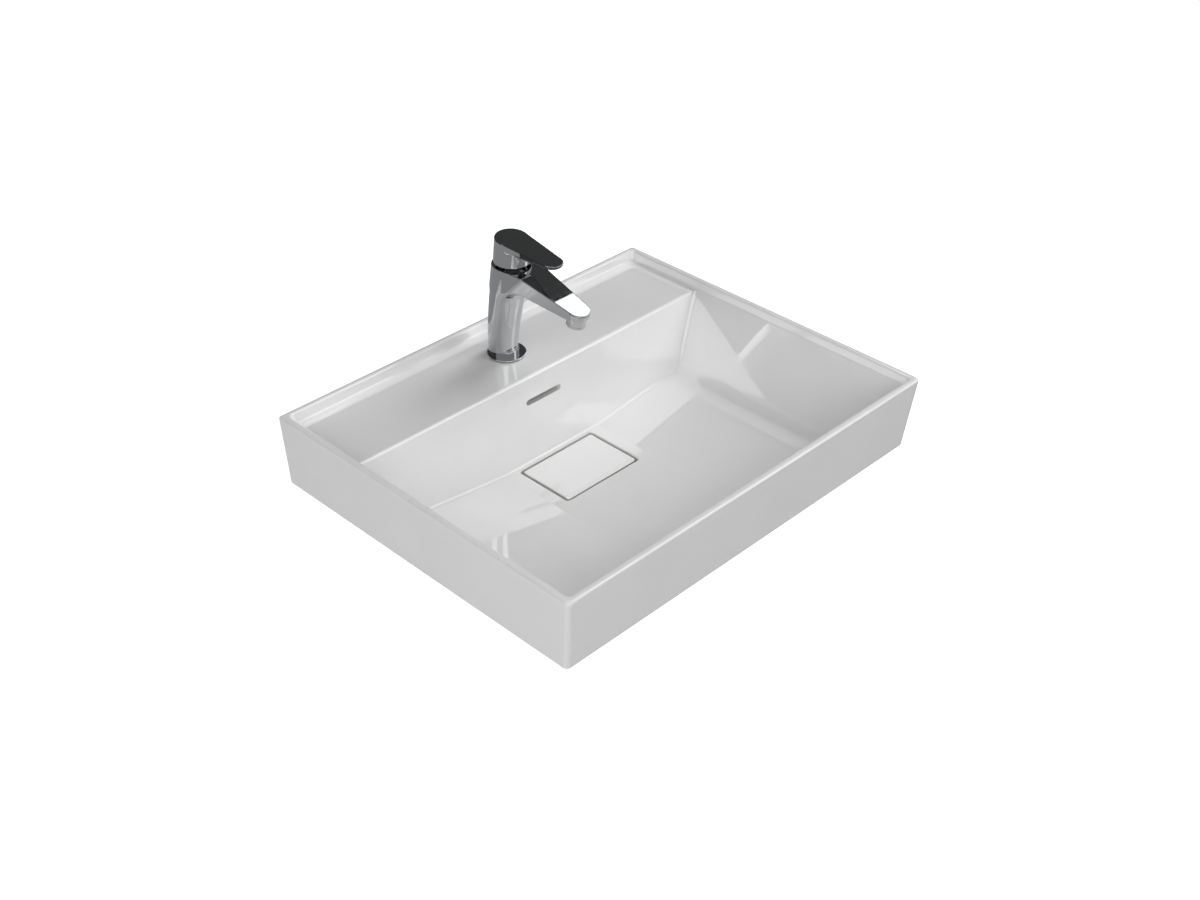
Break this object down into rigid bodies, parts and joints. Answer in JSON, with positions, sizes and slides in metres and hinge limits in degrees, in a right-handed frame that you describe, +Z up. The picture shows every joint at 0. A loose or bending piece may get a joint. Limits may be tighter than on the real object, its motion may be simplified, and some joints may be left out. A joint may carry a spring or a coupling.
{
  "type": "washbasin with mixer tap",
  "caption": "Rectangular wall-hung washbasin with a thin rim, a sloping bowl with an overflow slot, a covered push-open waste and a single-lever mixer tap.",
  "frame": {"origin": "midway between the two wall fixing holes, on the wall face", "axes": "+X along the wall to the right of someone using the basin, +Y into the wall, +Z up"},
  "size_m": [0.5996, 0.4837, 0.3899],
  "materials": {
    "glazed_ceramic": "glossy white glaze",
    "chrome": "polished chrome plate on brass",
    "brass": "turned, plain",
    "steel": "zinc plated",
    "spring_steel": "drawn wire",
    "rubber": "matte black",
    "white_plastic": "moulded, white",
    "disc_ceramic": "lapped, unglazed"
  },
  "bodies": {
    "basin_and_tap": {"basin": "glazed_ceramic", "click_spring": "spring_steel", "click_housing": "white_plastic", "waste_body": "chrome", "waste_gasket": "rubber", "waste_washer": "rubber", "waste_nut": "white_plastic", "tap_body": "chrome", "base_ring": "chrome", "base_gasket": "rubber", "fixing_stud": "steel", "deck_washer": "rubber", "deck_bracket": "steel", "fixing_nut": "brass", "cartridge_body": "white_plastic", "cartridge_nut": "brass", "cartridge_seal": "rubber", "fixed_disc": "disc_ceramic", "aerator_housing": "chrome", "aerator_insert": "white_plastic", "aerator_seal": "rubber"},
    "plug": {"plug_cap": "chrome", "plug_seal": "rubber", "click_stem": "brass"},
    "cover": {"waste_cover": "glazed_ceramic"},
    "turning": {"turret": "white_plastic"},
    "lever": {"spindle": "brass", "handle": "chrome", "grub_screw": "steel", "screw_plug": "chrome"},
    "disc": {"moving_disc": "disc_ceramic", "disc_carrier": "white_plastic"}
  },
  "joints": [
    {"name": "temperature_turn", "type": "hinge", "parent": "basin_and_tap", "child": "turning", "pos_m": [0, -0.0842, 0.184], "axis": [0, 0, 1], "range_deg": [-45, 45]},
    {"name": "flow_tilt", "type": "hinge", "parent": "turning", "child": "lever", "pos_m": [0, -0.0842, 0.184], "axis": [-1, 0, 0], "range_deg": [0, 20]},
    {"name": "disc_slide", "type": "slide", "parent": "turning", "child": "disc", "axis": [0, -1, 0], "range_m": [0, 0.0031]},
    {"name": "waste_push", "type": "slide", "parent": "basin_and_tap", "child": "plug", "axis": [0, 0, -1], "range_m": [0, 0.007], "stiffness_N_per_m": 600, "springref_m": -0.012, "deforming": ["click_spring"]},
    {"name": "cover_lift", "type": "slide", "parent": "plug", "child": "cover", "axis": [0, 0, 1], "range_m": [0, 0.05]}
  ],
  "couplings": [
    {"joint": "disc_slide", "follows": "flow_tilt", "m_per_rad": 0.00882}
  ]
}
